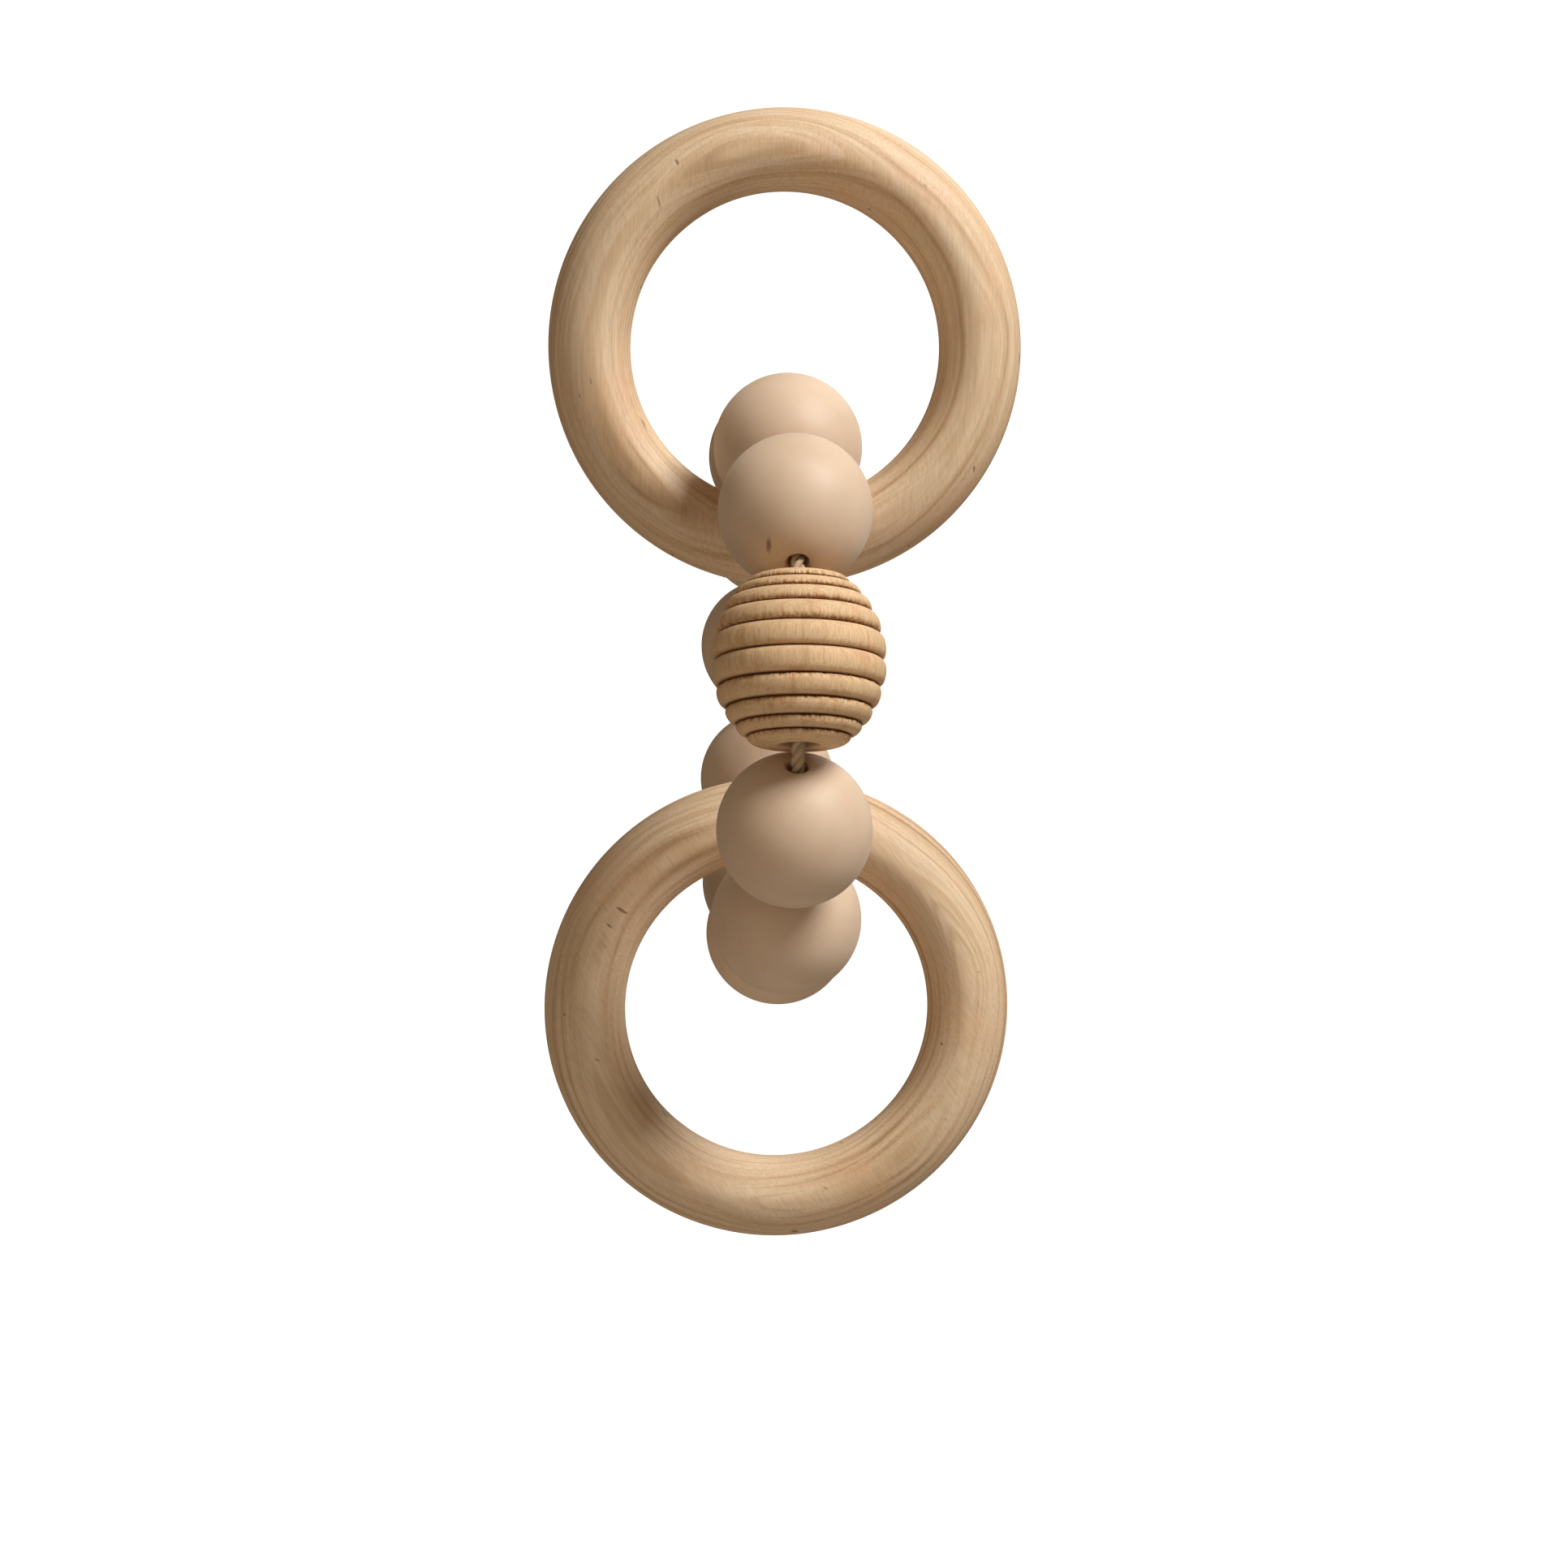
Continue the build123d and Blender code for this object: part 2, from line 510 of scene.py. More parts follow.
@dataclass(frozen=True)
class TurnedRingWood:
    """Bare wood turned from a flat board whose growth layers lie flat in the ring.

    The cut through flat layers shows as wavy lines that run round the ring.

    Args:
        shift: Place in the board, in millimetres, so that two rings differ.
        grain: The fibres' direction.
        warmth: How rosy the warm patches are.
    """

    shift: Triple
    grain: GrainRun
    warmth: float
    layer_mm: float = 1.15
    layer_drift_mm: float = 6.0
    streak_depth_mm: float = 0.022
    hair_depth_mm: float = 0.012
    drift_stretch: Triple = (0.03, 0.03, 0.022)
    spread_stretch: Triple = (0.02, 0.02, 0.0)
    fibre_stretch: Triple = (3.2, 3.2, 0.16)
    hair_stretch: Triple = (9.0, 9.0, 0.6)
    patch_stretch: Triple = (0.06, 0.06, 0.05)
    fleck_stretch: Triple = (0.75, 0.75, 0.22)
    fleck_turn: float = 0.3
    pale: Colour = rgb(0.77, 0.595, 0.405)
    tan: Colour = rgb(0.65, 0.455, 0.275)
    brown: Colour = rgb(0.43, 0.265, 0.145)
    rose: Colour = rgb(0.74, 0.42, 0.235)
    fleck: Colour = rgb(0.16, 0.075, 0.03)

    def layers(self, bench: Bench, here: Socket) -> Socket:
        """Return the growth layers, which drift up and down through the board.

        Args:
            bench: The material's bench.
            here: The place in millimetres.

        Returns:
            The value socket.
        """
        turn = self.grain.value
        drift = bench.grain(here, self.drift_stretch, 1.5, 0.35, turn)
        depth = bench.add("SeparateXYZ", {0: here}).outputs[1]
        layer = bench.calculate("MULTIPLY_ADD", drift, self.layer_drift_mm, depth)
        spread = bench.stretched(here, self.spread_stretch, turn)
        count = bench.calculate("MULTIPLY", layer, 1 / self.layer_mm)
        place = bench.add("CombineXYZ", {1: count}).outputs[0]
        place = bench.add("VectorMath", {0: place, 1: spread}, operation="ADD").outputs[0]
        return bench.cloud(place, 1.0, 3.5, 0.6)

    def material(self, name: str) -> bpy.types.Material:
        """Return the finish.

        Args:
            name: The material's name.

        Returns:
            The material.
        """
        bench = Bench(name)
        here = bench.millimetres(self.shift)
        turn = self.grain.value
        layers = self.layers(bench, here)
        fibre = bench.grain(here, self.fibre_stretch, 4.0, 0.65, turn)
        hairs = bench.grain(here, self.hair_stretch, 2.0, 0.6, turn)
        patch = bench.grain(here, self.patch_stretch, 2.0, turn=turn)

        tones = ((0.33, self.brown), (0.43, self.tan), (0.54, self.pale), (0.62, self.tan), (0.70, self.pale))
        colour = bench.ramp(layers, tones)
        colour = bench.blend(bench.band(patch, 0.45, 0.75, 0.0, self.warmth), colour, self.rose)
        colour = bench.shaded(colour, bench.band(fibre, 0.30, 0.62, 0.88, 1.03))
        colour = bench.shaded(colour, bench.band(hairs, 0.25, 0.45, 0.93, 1.0))
        flecks = bench.grain(here, self.fleck_stretch, 1.0, 0.4, turn + self.fleck_turn)
        colour = bench.blend(bench.band(flecks, 0.76, 0.80, 0.0, 0.7), colour, self.fleck)

        normal = bench.relief(fibre, self.streak_depth_mm, 0.55)
        normal = bench.relief(hairs, self.hair_depth_mm, 0.5, normal)
        rough = bench.band(layers, 0.3, 0.7, 0.60, 0.50)
        return bench.finish(Base_Color=colour, Roughness=rough, Normal=normal, Specular_IOR_Level=0.38)


@dataclass(frozen=True)
class RibbedBeadWood:
    """Pale turned wood with the grain along the bore, torn in its grooves, with painted shade in the grooves
    and the bore.
    """

    shift: Triple = (3.0, 7.0, 1.0)
    band_stretch: Triple = (0.55, 0.55, 0.05)
    fibre_stretch: Triple = (4.5, 4.5, 0.7)
    hair_stretch: Triple = (13.0, 13.0, 1.6)
    spot_stretch: Triple = (0.5, 0.5, 0.35)
    split_stretch: Triple = (2.6, 2.6, 0.5)
    fibre_depth_mm: float = 0.06
    hair_depth_mm: float = 0.03
    tan: Colour = rgb(0.63, 0.40, 0.205)
    pale: Colour = rgb(0.76, 0.53, 0.31)
    middle: Colour = rgb(0.70, 0.46, 0.25)
    rose: Colour = rgb(0.72, 0.38, 0.20)
    torn: Colour = rgb(0.42, 0.19, 0.06)
    # painted shade, near-black, for the groove bottoms and the bore
    painted_recess_shade: Colour = rgb(0.16, 0.065, 0.022)

    def material(self, name: str) -> bpy.types.Material:
        """Return the finish.

        Args:
            name: The material's name.

        Returns:
            The material.
        """
        bench = Bench(name)
        here = bench.millimetres(self.shift)
        bands = bench.grain(here, self.band_stretch)
        fibre = bench.grain(here, self.fibre_stretch, 4.0, 0.7)
        hairs = bench.grain(here, self.hair_stretch, 2.0, 0.6)
        spots = bench.grain(here, self.spot_stretch, 3.0, 0.6)
        torn = bench.add("Attribute", attribute_name="torn").outputs["Fac"]
        sunk = bench.add("Attribute", attribute_name="sunk").outputs["Fac"]

        colour = bench.ramp(bands, [(0.3, self.tan), (0.5, self.pale), (0.7, self.middle)])
        colour = bench.blend(bench.band(spots, 0.56, 0.70, 0.0, 0.55), colour, self.rose)
        colour = bench.shaded(colour, bench.band(fibre, 0.30, 0.62, 0.80, 1.05))
        splits = bench.grain(here, self.split_stretch, 2.0, 0.6)
        ticks = bench.calculate("MULTIPLY", torn, bench.band(splits, 0.44, 0.58))
        colour = bench.blend(ticks, colour, self.torn)
        # painted shade: darkens the groove bottoms and the bore by how sunk each point is
        colour = bench.blend(bench.band(sunk, 0.12, 0.8, 0.0, 0.95), colour, self.painted_recess_shade)

        normal = bench.relief(fibre, self.fibre_depth_mm, 0.6)
        normal = bench.relief(hairs, self.hair_depth_mm, 0.5, normal)
        rough = bench.band(fibre, 0.3, 0.7, 0.72, 0.56)
        return bench.finish(Base_Color=colour, Roughness=rough, Normal=normal, Specular_IOR_Level=0.3)


@dataclass(frozen=True)
class MatteSilicone:
    """Soft matte silicone with a faint inner glow, dust specks and, on one bead, a scuff.

    Args:
        shift: Place in the material, in millimetres, so that two beads differ.
        scuff_at: Place of the scuff on the bead, in millimetres, if it has one.
    """

    shift: Triple
    scuff_at: Triple | None = None
    cloud_per_mm: float = 0.16
    skin_per_mm: float = 7.0
    dust_per_mm: float = 0.42
    grit_per_mm: float = 0.27
    skin_depth_mm: float = 0.012
    scuff_per_mm: float = 1.8
    scuff_shape: Triple = (2.6, 0.85, 0.85)
    scuff_ragged: float = 1.1
    deep: Colour = rgb(0.67, 0.505, 0.36)
    light: Colour = rgb(0.71, 0.545, 0.395)
    dust: Colour = rgb(0.88, 0.80, 0.70)
    grit: Colour = rgb(0.33, 0.19, 0.10)
    scuff: Colour = rgb(0.20, 0.10, 0.05)

    def material(self, name: str) -> bpy.types.Material:
        """Return the finish.

        Args:
            name: The material's name.

        Returns:
            The material.
        """
        bench = Bench(name)
        here = bench.millimetres(self.shift)
        cloudy = bench.grain(here, (self.cloud_per_mm,) * 3)
        skin = bench.grain(here, (self.skin_per_mm,) * 3, 3.0, 0.6)
        colour = bench.ramp(cloudy, [(0.35, self.deep), (0.65, self.light)])
        dust = bench.specks(here, self.dust_per_mm)
        colour = bench.blend(bench.band(dust, 0.020, 0.045, 0.55, 0.0), colour, self.dust)
        grit = bench.specks(here, self.grit_per_mm)
        colour = bench.blend(bench.band(grit, 0.012, 0.03, 0.5, 0.0), colour, self.grit)
        if self.scuff_at:
            colour = self.scuffed(bench, colour)
        normal = bench.relief(skin, self.skin_depth_mm, 0.5)
        rough = bench.band(cloudy, 0.35, 0.65, 0.50, 0.56)
        return bench.finish(
            Base_Color=colour,
            Roughness=rough,
            Normal=normal,
            Specular_IOR_Level=0.42,
            Subsurface_Weight=0.22,
            Subsurface_Radius=(1.0, 0.45, 0.22),
            Subsurface_Scale=1.6 * MM,
            Sheen_Weight=0.12,
            Sheen_Roughness=0.4,
        )

    def scuffed(self, bench: Bench, colour: Socket) -> Socket:
        """Return the colour with one short dark streak rubbed into it.

        Args:
            bench: The material's bench.
            colour: The colour without the streak.

        Returns:
            The colour socket.
        """
        own = bench.millimetres()
        offset = bench.add("VectorMath", {0: own, 1: self.scuff_at}, operation="SUBTRACT").outputs[0]
        ragged = bench.grain(own, (self.scuff_per_mm,) * 3, 3.0, 0.7)
        shape = bench.add("Mapping", {"Vector": offset, "Scale": self.scuff_shape}).outputs[0]
        distance = bench.add("VectorMath", {0: shape}, operation="LENGTH").outputs["Value"]
        ragged = bench.calculate("MULTIPLY", ragged, self.scuff_ragged)
        distance = bench.calculate("ADD", distance, ragged)
        return bench.blend(bench.band(distance, 0.85, 1.75, 0.72, 0.0), colour, self.scuff)


@dataclass(frozen=True)
class TwistedFibre:
    """Waxed cotton fibre with fine hairs along each strand."""

    tone: Colour = rgb(0.62, 0.47, 0.30)
    dark_shares: Triple = (0.55, 0.5, 0.45)
    hair_per_mm: float = 9.0
    wax_per_mm: float = 0.8
    hair_depth_mm: float = 0.05

    def material(self, name: str) -> bpy.types.Material:
        """Return the finish.

        Args:
            name: The material's name.

        Returns:
            The material.
        """
        bench = Bench(name)
        here = bench.millimetres()
        hairs = bench.grain(here, (self.hair_per_mm,) * 3, 4.0, 0.7)
        wax = bench.grain(here, (self.wax_per_mm,) * 3, 2.0)
        dark = rgb(*(tone * share for tone, share in zip(self.tone, self.dark_shares)))
        colour = bench.ramp(hairs, [(0.32, dark), (0.6, self.tone)])
        normal = bench.relief(hairs, self.hair_depth_mm, 0.7)
        rough = bench.band(wax, 0.35, 0.65, 0.55, 0.75)
        return bench.finish(Base_Color=colour, Roughness=rough, Normal=normal, Sheen_Weight=0.2)


# ---- pieces ----

OFF_AXIS = Vector((0.31, 0.73, 0.61))  # a tube's sides are measured from it


@dataclass
class WoodenRing:
    """One turned ring: two round-overs on each face that meet in a soft ridge.

    Args:
        node: The CAD node that it stands for, which is also its body.
        wood: Its finish.
        seed: Shifts the turner's small unevenness, so that two rings differ.
    """

    node: str
    wood: TurnedRingWood
    seed: float
    bore_dia: float = 42.4
    edge_land: float = 1.6
    ridge_inset: float = 4.9
    bulge: float = 0.165
    ridge_softness: float = 0.5
    unevenness: float = 0.05
    lumps_round: float = 2.2
    lumps_up: float = 0.12
    steps: int = 320
    outer_spans: int = 22
    inner_spans: int = 18
    land_spans: int = 4
    soften_passes: int = 3

    def span(self) -> tuple[Vector, float, float]:
        """Measure the ring's CAD node.

        Returns:
            Its centre in metres, and its outer radius and thickness in millimetres.
        """
        low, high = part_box(self.node)
        size = (high - low) / MM
        return (low + high) / 2, size.x / 2, size.y

    def round_over(self, start: Point, end: Point, steps: int) -> list[Point]:
        """Return one round-over's points. It bulges to the right of the way from start to end.

        Args:
            start: First corner, as (radius, height).
            end: Last corner.
            steps: Number of spans.

        Returns:
            The points without the last.
        """
        run = math.dist(start, end)
        sagitta = self.bulge * run
        radius = (run**2 / 4 + sagitta**2) / (2 * sagitta)
        half = math.asin(run / 2 / radius)
        along = math.atan2(end[1] - start[1], end[0] - start[0])
        right = along - math.pi / 2
        middle = ((start[0] + end[0]) / 2, (start[1] + end[1]) / 2)
        back = radius - sagitta
        centre = (middle[0] - back * math.cos(right), middle[1] - back * math.sin(right))
        return arc(centre, radius, right - half, right + half, steps)[:-1]

    def outline(self) -> list[Point]:
        """Draw the ring's section, with its ridges and land edges softened.

        Returns:
            The closed outline as (radius, height).
        """
        _, outer, thickness = self.span()
        bore, land, face = self.bore_dia / 2, self.edge_land / 2, thickness / 2
        ridge = bore + self.ridge_inset
        rises = [self.edge_land * k / self.land_spans for k in range(self.land_spans)]
        points = [(outer, -land + rise) for rise in rises]
        points += self.round_over((outer, land), (ridge, face), self.outer_spans)
        points += self.round_over((ridge, face), (bore, land), self.inner_spans)
        points += [(bore, land - rise) for rise in rises]
        points += self.round_over((bore, -land), (ridge, -face), self.inner_spans)
        points += self.round_over((ridge, -face), (outer, -land), self.outer_spans)
        for _ in range(self.soften_passes):
            points = self.softened(points)
        return points

    def softened(self, points: Profile) -> list[Point]:
        """Return the outline with each point drawn part of the way to its neighbours.

        Args:
            points: The closed outline.

        Returns:
            The softer outline, with as many points.
        """
        share = self.ridge_softness
        soft = []
        for k, (x, y) in enumerate(points):
            before, after = points[k - 1], points[(k + 1) % len(points)]
            middle_x = (before[0] + after[0]) / 2
            middle_y = (before[1] + after[1]) / 2
            soft.append((x + share * (middle_x - x), y + share * (middle_y - y)))
        return soft

    def wobble(self, radius: float, height: float, angle: float) -> float:
        """Return the turner's unevenness at a point, always into the wood.

        Args:
            radius: The point's distance from the axis.
            height: Its height.
            angle: Its angle about the axis, in radians.

        Returns:
            The change of radius in millimetres.
        """
        lumps = self.lumps_round
        across, along = math.cos(angle) * lumps, math.sin(angle) * lumps
        spot = Vector((across, along, height * self.lumps_up + self.seed))
        outwards = 1 if radius > self.bore_dia / 2 + self.ridge_inset else -1
        return self.unevenness * (noise.noise(spot) - 1.0) * 0.5 * outwards

    def build(self) -> bpy.types.Object:
        """Make the ring.

        Returns:
            The ring, dressed and fastened.
        """
        centre, _, _ = self.span()
        piece = lathe(f"{self.node}_turned", self.outline(), self.steps, self.wobble)
        piece.data.transform(Matrix.Rotation(math.pi / 2, 4, "X"))
        piece.matrix_world = Matrix.Translation(centre)
        hand_over(piece, self.node, self.node, self.wood.material(f"{self.node}_wood"))
        return piece


@dataclass
class SiliconeBead:
    """One moulded ball with a rounded mouth at each end of its bore.

    Args:
        node: The CAD node that it stands for, which is also its body.
        silicone: Its finish.
    """

    node: str
    silicone: MatteSilicone
    bore_dia: float = 2.8
    mouth_radius: float = 0.4
    steps: int = 128
    ball_spans: int = 72
    mouth_spans: int = 8
    bore_spans: int = 12

    def outline(self) -> list[Point]:
        """Draw the ball's section on one side of the bore.

        Returns:
            The closed outline as (radius, height).
        """
        low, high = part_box(self.node)
        ball = (high.x - low.x) / 2 / MM
        bore, mouth = self.bore_dia / 2, self.mouth_radius
        across = bore + mouth
        rise = math.sqrt((ball - mouth) ** 2 - across**2)
        start = math.atan2(rise, across)
        points = arc((0, 0), ball, -start, start, self.ball_spans)[:-1]
        points += arc((across, rise), mouth, start, math.pi, self.mouth_spans)[:-1]
        points += [(bore, rise - 2 * rise * k / self.bore_spans) for k in range(self.bore_spans)]
        points += arc((across, -rise), mouth, math.pi, 2 * math.pi - start, self.mouth_spans)[:-1]
        return points

    def build(self) -> bpy.types.Object:
        """Make the bead.

        Returns:
            The bead, dressed and fastened.
        """
        piece = lathe(f"{self.node}_ball", self.outline(), self.steps)
        piece.matrix_world = bore_matrix(self.node)
        finish = self.silicone.material(f"{self.node}_silicone")
        hand_over(piece, self.node, self.node, finish)
        return piece


@dataclass
class RibbedBead:
    """The turned oval bead with ribs, flat ends and a wide bore.

    A point of its section is (radius, height, sunk), where sunk goes from 0 on a rib's face to 1 at the
    bottom of a groove, and from 0.1 to 0.5 on the bore's bevels and wall; the finish paints shade by it.

    Args:
        wood: Its finish.
    """

    wood: RibbedBeadWood
    node: str = "ribbed_bead"
    dia: float = 22.0
    length: float = 21.6
    oval_length: float = 24.8
    bore_dia: float = 5.0
    groove_places: tuple[float, ...] = (3.3, 6.0, 8.1, 9.6)
    groove_depth: float = 0.62
    rib_crown: float = 0.30
    rib_sink: float = 0.20
    rib_flatness: float = 0.30
    end_round: float = 0.35
    tear_depth: float = 0.30
    tear_reach: float = 0.85
    faint_tear: float = 0.15
    smooth_middle: float = 0.9
    least_sunk: float = 0.02
    turned_slack: float = 0.03
    bore_bevel: float = 0.3
    bevel_edge: float = 0.08
    steps: int = 420
    half_rib_spans: int = 8
    end_sharpness: int = 4
    groove_sharpness: int = 7
    # how sharply the painted shade falls off from a groove's bottom
    groove_shade_sharpness: int = 11
    face_spans: int = 6
    bore_spans: int = 14

    def oval(self, height: float) -> float:
        """Measure the plain oval.

        Args:
            height: Height above the bead's middle.

        Returns:
            The radius there.
        """
        return self.dia / 2 * math.sqrt(1 - (2 * height / self.oval_length) ** 2)

    def bounds(self) -> list[float]:
        """List the heights of the ends and of every groove.

        Returns:
            The heights from the bottom up.
        """
        places = [side * place for place in self.groove_places for side in (-1, 1)]
        return sorted([-self.length / 2, 0.0, self.length / 2, *places])

    def rib(self, low: float, high: float) -> list[Triple]:
        """Draw one rib from the groove or end below it to the one above.

        Args:
            low: Height of the groove or end below.
            high: Height of the groove or end above.

        Returns:
            The rib's points, both ends included.
        """
        half = self.length / 2
        middle, reach = (low + high) / 2, (high - low) / 2
        points = []
        for k in range(2 * self.half_rib_spans + 1):
            place = math.sin(math.pi / 2 * (k / self.half_rib_spans - 1))
            height = middle + reach * place
            at_end = (high == half and place > 0) or (low == -half and place < 0)
            depth = self.end_round if at_end else self.groove_depth
            sharpness = self.end_sharpness if at_end else self.groove_sharpness
            follow = self.rib_flatness * self.oval(middle) + (1 - self.rib_flatness) * self.oval(height)
            drop = depth * abs(place) ** sharpness
            radius = follow - self.rib_sink + self.rib_crown * (1 - place**2) - drop
            # sunk sets the painted shade in the groove
            sunk = 0.0 if at_end else abs(place) ** self.groove_shade_sharpness
            points.append((radius, height, sunk))
        return points

    def outline(self) -> list[Triple]:
        """Draw the whole section, up the outside, over the top and back down the bore.

        Returns:
            The closed outline's points.
        """
        heights = self.bounds()
        half, bore = self.length / 2, self.bore_dia / 2
        bevel, edge = self.bore_bevel, self.bevel_edge
        ribs: list[Triple] = []
        for low, high in zip(heights, heights[1:]):
            rib = self.rib(low, high)
            if ribs:
                shared = min(ribs[-1][0], rib[0][0])
                ribs[-1] = (shared, low, 1.0)
                rib = rib[1:]
            ribs += rib
        rim = ribs[-1][0]
        spans = self.face_spans
        top = [(rim + (bore + bevel - rim) * k / spans, half, 0.0) for k in range(1, spans + 1)]
        # the bevels and the bore wall get a middling sunk, so that the finish paints shade into the bore
        upper_bevel = [(bore + edge, half - edge, 0.1), (bore, half - bevel, 0.3)]
        turns = range(1, self.bore_spans)
        wall = [(bore, (half - bevel) * (1 - 2 * k / self.bore_spans), 0.5) for k in turns]
        lower_bevel = [(bore, -half + bevel, 0.3), (bore + edge, -half + edge, 0.1)]
        bottom = [(bore + bevel + (rim - bore - bevel) * k / spans, -half, 0.0) for k in range(spans)]
        return ribs + top + upper_bevel + wall + lower_bevel + bottom

    def torn(self, height: float, sunk: float) -> float:
        """Return how torn the wood is, which is most just past each groove on the way to an end.

        Args:
            height: Height above the bead's middle.
            sunk: How far down in a groove the point lies.

        Returns:
            A share from 0 to 1.
        """
        away = abs(height)
        at_middle = away < self.groove_places[0] * self.smooth_middle
        if at_middle or away > self.length / 2 - self.bore_bevel:
            return self.faint_tear if sunk > self.least_sunk else 0.0
        nearest = min(away - place for place in (0.0, *self.groove_places) if away >= place)
        return max(0.0, 1.0 - nearest / self.tear_reach)

    def wobble(self, radius: float, height: float, angle: float) -> float:
        """Return the torn fibres' change of radius at a point, always inwards.

        Args:
            radius: The point's distance from the axis.
            height: Its height above the bead's middle.
            angle: Its angle about the axis, in radians.

        Returns:
            The change of radius in millimetres, or 0 in the bore.
        """
        if radius < self.bore_dia / 2 + 0.5:
            return 0.0
        tear = self.torn(height, 0.0)
        ring = Vector((math.cos(angle), math.sin(angle), 0))
        coarse = noise.noise(ring * 16 + Vector((0, 0, height * 0.8)))
        sharp = noise.noise(ring * 48 + Vector((5, 0, height * 1.5)))
        slow = noise.noise(ring * 1.5 + Vector((0, 0, height * 0.3)))
        ragged = max(0.0, 0.35 + coarse + sharp)
        return -tear * self.tear_depth * ragged - self.turned_slack * (1 + slow)

    def build(self) -> bpy.types.Object:
        """Make the bead.

        Returns:
            The bead, dressed and fastened.
        """
        outline = self.outline()
        profile = [(radius, height) for radius, height, _ in outline]
        piece = lathe("ribbed_bead_turned", profile, self.steps, self.wobble)
        sunk = [depth for _, _, depth in outline for _ in range(self.steps)]
        torn = [self.torn(height, depth) for _, height, depth in outline for _ in range(self.steps)]
        # sunk carries the painted shade of the grooves and the bore to the finish
        paint_attribute(piece, "sunk", sunk)
        paint_attribute(piece, "torn", torn)
        piece.matrix_world = bore_matrix(self.node)
        hand_over(piece, self.node, self.node, self.wood.material("ribbed_bead_wood"))
        return piece


@dataclass
class Cord:
    """The closed three-strand cord that runs through every bead, and its knot.

    Args:
        fibre: The finish of the cord and the knot.
        beads: The bodies of the beads in their order along the cord.
        ribbed: The one of them whose bore leans from the cord.
    """

    fibre: TwistedFibre
    beads: Sequence[str]
    ribbed: str = "ribbed_bead"
    lean_degrees: float = 4.0
    dia: float = 1.8
    bend_radius: float = 9.0
    lay_length: float = 5.2
    strands: int = 3
    strand_overlap: float = 1.04
    step: float = 0.45
    sides: int = 10
    bend_spans: int = 6
    knot_tube: float = 0.62
    knot_spread: float = 0.42
    knot_rise: float = 1.15
    knot_steps: int = 160

    def lines(self) -> list[tuple[Vector, Vector]]:
        """Find the cord's line inside each bead.

        Returns:
            A point in millimetres and a direction for each bead.
        """
        found = []
        for body in self.beads:
            joint = joint_of(body)
            way = Vector(joint["axis"]).normalized()
            if body == self.ribbed:
                way = Matrix.Rotation(math.radians(self.lean_degrees), 3, "X") @ way
            found.append((Vector(joint["pos_m"]) / MM, way))
        return found

    def corners(self) -> list[Vector]:
        """Find where the cord's line through each bead meets the next one's.

        Returns:
            The meeting points in millimetres.
        """
        lines = self.lines()
        found = []
        for (start, a), (end, b) in zip(lines, lines[1:] + lines[:1]):
            gap = end - start
            cross = a.y * b.z - a.z * b.y
            along = (gap.y * b.z - gap.z * b.y) / cross
            found.append(start + a * along)
        return found

    def bend(self, before: Vector, corner: Vector, after: Vector) -> list[Vector]:
        """Round one corner of the cord.

        Args:
            before: The corner before it.
            corner: The corner.
            after: The corner after it.

        Returns:
            The arc's points, both ends included.
        """
        back, ahead = (before - corner).normalized(), (after - corner).normalized()
        half = back.angle(ahead) / 2
        centre = corner + (back + ahead).normalized() * (self.bend_radius / math.sin(half))
        reach = self.bend_radius / math.tan(half)
        start = (corner + back * reach - centre).normalized()
        end = (corner + ahead * reach - centre).normalized()
        shares = [k / self.bend_spans for k in range(self.bend_spans + 1)]
        return [centre + self.bend_radius * start.slerp(end, share).normalized() for share in shares]

    def path(self) -> list[Vector]:
        """Lay out the whole closed cord.

        Returns:
            Evenly spaced points in millimetres, without the first one again.
        """
        corners = self.corners()
        rough: list[Vector] = []
        for k, corner in enumerate(corners):
            rough += self.bend(corners[k - 1], corner, corners[(k + 1) % len(corners)])
        rough.append(rough[0])
        lengths = [0.0]
        for a, b in zip(rough, rough[1:]):
            lengths.append(lengths[-1] + (b - a).length)
        count = round(lengths[-1] / self.step)
        points, at = [], 0
        for k in range(count):
            along = lengths[-1] * k / count
            while lengths[at + 1] < along:
                at += 1
            share = (along - lengths[at]) / (lengths[at + 1] - lengths[at])
            points.append(rough[at].lerp(rough[at + 1], share))
        return points

    def tube(self, path: Sequence[Vector], radius: float) -> tuple[list[Vector], list[tuple[int, ...]]]:
        """Wrap a closed tube about a closed path.

        Args:
            path: The path's points in millimetres.
            radius: The tube's radius.

        Returns:
            The tube's points in millimetres, and its faces.
        """
        points = []
        for k, here in enumerate(path):
            along = (path[(k + 1) % len(path)] - path[k - 1]).normalized()
            side = along.cross(OFF_AXIS).normalized()
            up = along.cross(side)
            for turn in range(self.sides):
                angle = 2 * math.pi * turn / self.sides
                points.append(here + radius * (math.cos(angle) * side + math.sin(angle) * up))
        return points, grid_faces(len(path), self.sides)

    def strand_radius(self) -> float:
        """Work out the radius at which three strands touch and fill the cord's diameter.

        Returns:
            The radius in millimetres.
        """
        return self.dia / 2 / (1 + 2 / math.sqrt(3))

    def strand(self, path: Sequence[Vector], number: int) -> list[Vector]:
        """Wind one strand round the cord's path, which lies in the YZ plane.

        Args:
            path: The cord's points in millimetres.
            number: The strand's number, from 0.

        Returns:
            The strand's points in millimetres.
        """
        offset = self.dia / 2 - self.strand_radius()
        turns = round(len(path) * self.step / self.lay_length)
        points = []
        for k, here in enumerate(path):
            along = (path[(k + 1) % len(path)] - path[k - 1]).normalized()
            side = Vector((1, 0, 0))
            up = along.cross(side)
            angle = 2 * math.pi * (turns * k / len(path) + number / self.strands)
            points.append(here + offset * (math.cos(angle) * side + math.sin(angle) * up))
        return points

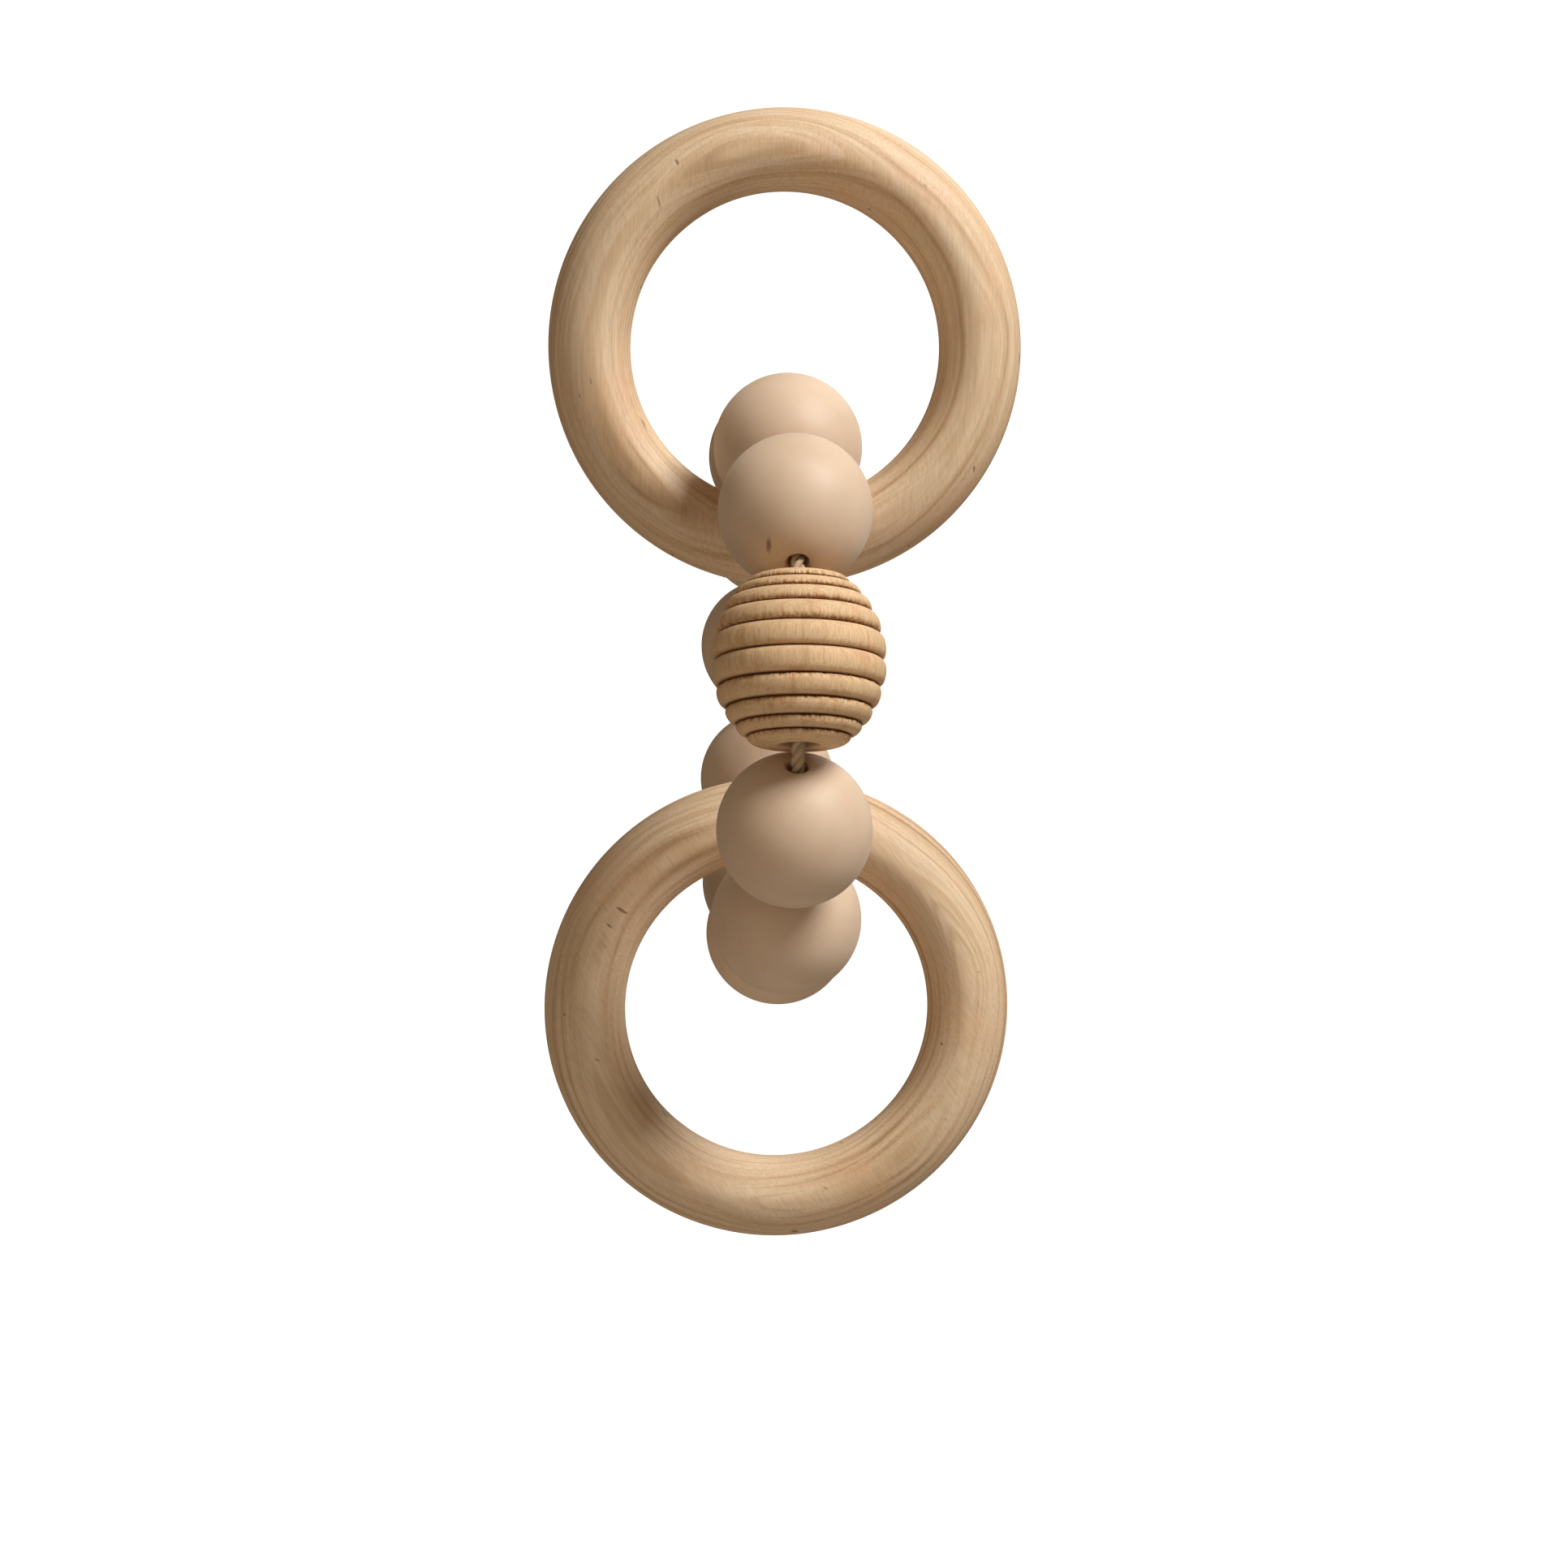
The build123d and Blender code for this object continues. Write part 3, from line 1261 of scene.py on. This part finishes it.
    def build(self) -> bpy.types.Object:
        """Make the twisted cord.

        Returns:
            The cord, dressed and fastened.
        """
        path = self.path()
        radius = self.strand_radius() * self.strand_overlap
        points: list[Vector] = []
        faces: list[tuple[int, ...]] = []
        for number in range(self.strands):
            ring, sides = self.tube(self.strand(path, number), radius)
            faces += [tuple(corner + len(points) for corner in face) for face in sides]
            points += ring
        piece = mesh_object("cord_twisted", [tuple(p * MM) for p in points], faces)
        finish = self.fibre.material("cord_fibre_finish")
        hand_over(piece, "bead_string", "cord", finish)
        return piece

    def build_knot(self) -> bpy.types.Object:
        """Make the knot that is pulled into the ribbed bead's bore, as a small trefoil.

        Returns:
            The knot, dressed and fastened.
        """
        low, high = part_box("cord_knot")
        path = []
        for k in range(self.knot_steps):
            t = 2 * math.pi * k / self.knot_steps
            x = (math.sin(t) + 2 * math.sin(2 * t)) * self.knot_spread
            y = (math.cos(t) - 2 * math.cos(2 * t)) * self.knot_spread
            path.append(Vector((x, y, -math.sin(3 * t) * self.knot_rise)))
        points, faces = self.tube(path, self.knot_tube)
        piece = mesh_object("cord_knot_tied", [tuple(p * MM) for p in points], faces)
        rotation = bore_matrix(self.ribbed).to_3x3().to_4x4()
        piece.matrix_world = Matrix.Translation((low + high) / 2) @ rotation
        finish = self.fibre.material("knot_fibre_finish")
        hand_over(piece, "bead_string", "cord_knot", finish)
        return piece


# ---- studio ----


@dataclass(frozen=True)
class AreaLight:
    """One round soft light that faces the rattle.

    Args:
        name: The light's name.
        place: Where it stands, in metres.
        size: Its diameter in metres.
        watts: Its power.
        colour: Its tint.
    """

    name: str
    place: Triple
    size: float
    watts: float
    colour: Triple

    def build(self, target: Vector) -> bpy.types.Object:
        """Make the light.

        Args:
            target: The point that it is aimed at, in metres.

        Returns:
            The light's object.
        """
        lamp = bpy.data.lights.new(self.name, "AREA")
        lamp.shape = "DISK"
        lamp.size = self.size
        lamp.energy = self.watts
        lamp.color = self.colour
        holder = bpy.data.objects.new(self.name, lamp)
        bpy.context.scene.collection.objects.link(holder)
        holder.location = self.place
        holder.rotation_euler = (target - Vector(self.place)).to_track_quat("-Z", "Y").to_euler()
        return holder


@dataclass
class Studio:
    """The pale sweep, the soft lights and the camera."""

    lens_mm: float = 67.0
    sensor_mm: float = 36.0
    near_clip: float = 0.01
    camera_mm: Triple = (-22.9, -404.1, -44.2)
    yaw: float = 0.0582
    pitch: float = 0.1053
    roll: float = 0.0139
    floor_z: float = -0.34
    wall_radius: float = 1.7
    wall_top: float = 1.9
    tip_radius: float = 0.001
    tip_rise: float = 0.4
    bend: float = 0.45
    bend_spans: int = 16
    sweep_steps: int = 96
    paper_glow: float = 0.9
    air_colour: Colour = rgb(1.0, 0.80, 0.60)
    air_strength: float = 0.16
    lights: tuple[AreaLight, ...] = (
        AreaLight("key", (0.44, -0.34, 0.58), 0.42, 8.4, (1.0, 0.985, 0.965)),
        AreaLight("fill", (-0.6, -0.7, -0.2), 0.9, 1.25, (1.0, 0.80, 0.60)),
        AreaLight("bounce", (0.15, -0.35, -0.55), 0.7, 0.7, (1.0, 0.93, 0.84)),
        AreaLight("back", (0.35, 0.60, 0.40), 0.5, 1.2, (1.0, 0.98, 0.95)),
    )

    def camera(self) -> bpy.types.Object:
        """Set the camera at the viewing angle.

        Returns:
            The camera's object, which is the scene's own camera.
        """
        data = bpy.data.cameras.new("camera")
        data.lens = self.lens_mm
        data.sensor_width = self.sensor_mm
        data.clip_start = self.near_clip
        holder = bpy.data.objects.new("camera", data)
        bpy.context.scene.collection.objects.link(holder)
        flat = math.cos(self.pitch)
        ahead = Vector((math.sin(self.yaw) * flat, math.cos(self.yaw) * flat, -math.sin(self.pitch)))
        level = Vector((math.cos(self.yaw), -math.sin(self.yaw), 0))
        above = level.cross(ahead)
        right = math.cos(self.roll) * level + math.sin(self.roll) * above
        up = -math.sin(self.roll) * level + math.cos(self.roll) * above
        rotation = Matrix((right, up, -ahead)).transposed().to_4x4()
        holder.matrix_world = Matrix.Translation(Vector(self.camera_mm) * MM) @ rotation
        bpy.context.scene.camera = holder
        return holder

    def sweep(self) -> bpy.types.Object:
        """Make the round paper sweep: a floor that curves up into a wall and closes on top.

        It is seen but gives no light, so the lamps alone shape the rattle.

        Returns:
            The stage piece.
        """
        corner = (self.wall_radius - self.bend, self.floor_z + self.bend)
        section = [(self.tip_radius, self.floor_z), (corner[0] / 2, self.floor_z)]
        section += arc(corner, self.bend, -math.pi / 2, 0, self.bend_spans)
        section += [(self.wall_radius, self.wall_top), (self.tip_radius, self.wall_top + self.tip_rise)]
        steps = self.sweep_steps
        points = []
        for radius, height in section:
            for step in range(steps):
                angle = 2 * math.pi * step / steps
                points.append((radius * math.cos(angle), radius * math.sin(angle), height))
        faces = grid_faces(len(section), steps)[: (len(section) - 1) * steps]
        paper = mesh_object("paper_sweep", points, faces)
        bench = Bench("sweep_paper")
        tooth = bench.cloud(bench.millimetres(), 0.5, 3.0)
        tone = bench.ramp(tooth, [(0.3, rgb(0.90, 0.90, 0.90)), (0.7, rgb(0.93, 0.93, 0.93))])
        material = bench.finish(
            Base_Color=tone,
            Roughness=0.9,
            Emission_Color=rgb(1, 1, 1),
            Emission_Strength=self.paper_glow,
        )
        paper.data.materials.append(material)
        paper.visible_diffuse = False
        paper.visible_glossy = False
        paper.visible_shadow = False
        return paper

    def build(self, target: Vector) -> None:
        """Set up the whole studio.

        Args:
            target: The point that the lights are aimed at, in metres.
        """
        scene = bpy.context.scene
        scene.view_settings.view_transform = "Standard"
        world = bpy.data.worlds.new("studio_air")
        world.use_nodes = True
        sky = world.node_tree.nodes["Background"]
        sky.inputs["Color"].default_value = self.air_colour
        sky.inputs["Strength"].default_value = self.air_strength
        scene.world = world
        self.camera()
        self.sweep()
        for light in self.lights:
            light.build(target)


# ---- the whole rattle ----


def bead_bodies() -> list[str]:
    """List the bodies of all the beads.

    Returns:
        The bodies in their order along the cord.
    """
    plain = sorted(body for body in frame["bodies"] if body.startswith("silicone_bead"))
    return plain[:2] + ["ribbed_bead"] + plain[2:]


def main() -> None:
    """Build the studio and every piece in order."""
    logging.basicConfig(level=logging.INFO, format="%(name)s: %(message)s")
    Studio().build((CAD_BOX[0] + CAD_BOX[1]) / 2)
    upper = TurnedRingWood(shift=(4.0, 2.2, 31.0), grain=GrainRun.UPRIGHT, warmth=0.45)
    lower = TurnedRingWood(shift=(57.0, 6.4, -12.0), grain=GrainRun.SLANTED, warmth=0.3)
    WoodenRing("upper_ring", upper, seed=1.0).build()
    WoodenRing("lower_ring", lower, seed=4.0).build()
    bodies = bead_bodies()
    for number, body in enumerate(bodies):
        if body == "ribbed_bead":
            RibbedBead(RibbedBeadWood()).build()
            continue
        scuff = SCUFF_PLACE if number == SCUFFED_BEAD else None
        shift = (SHIFT_PER_BEAD[0] * number, SHIFT_PER_BEAD[1] * number, 0.0)
        SiliconeBead(body, MatteSilicone(shift=shift, scuff_at=scuff)).build()
    cord = Cord(TwistedFibre(), bodies)
    cord.build()
    cord.build_knot()


if __name__ == "__main__":
    main()
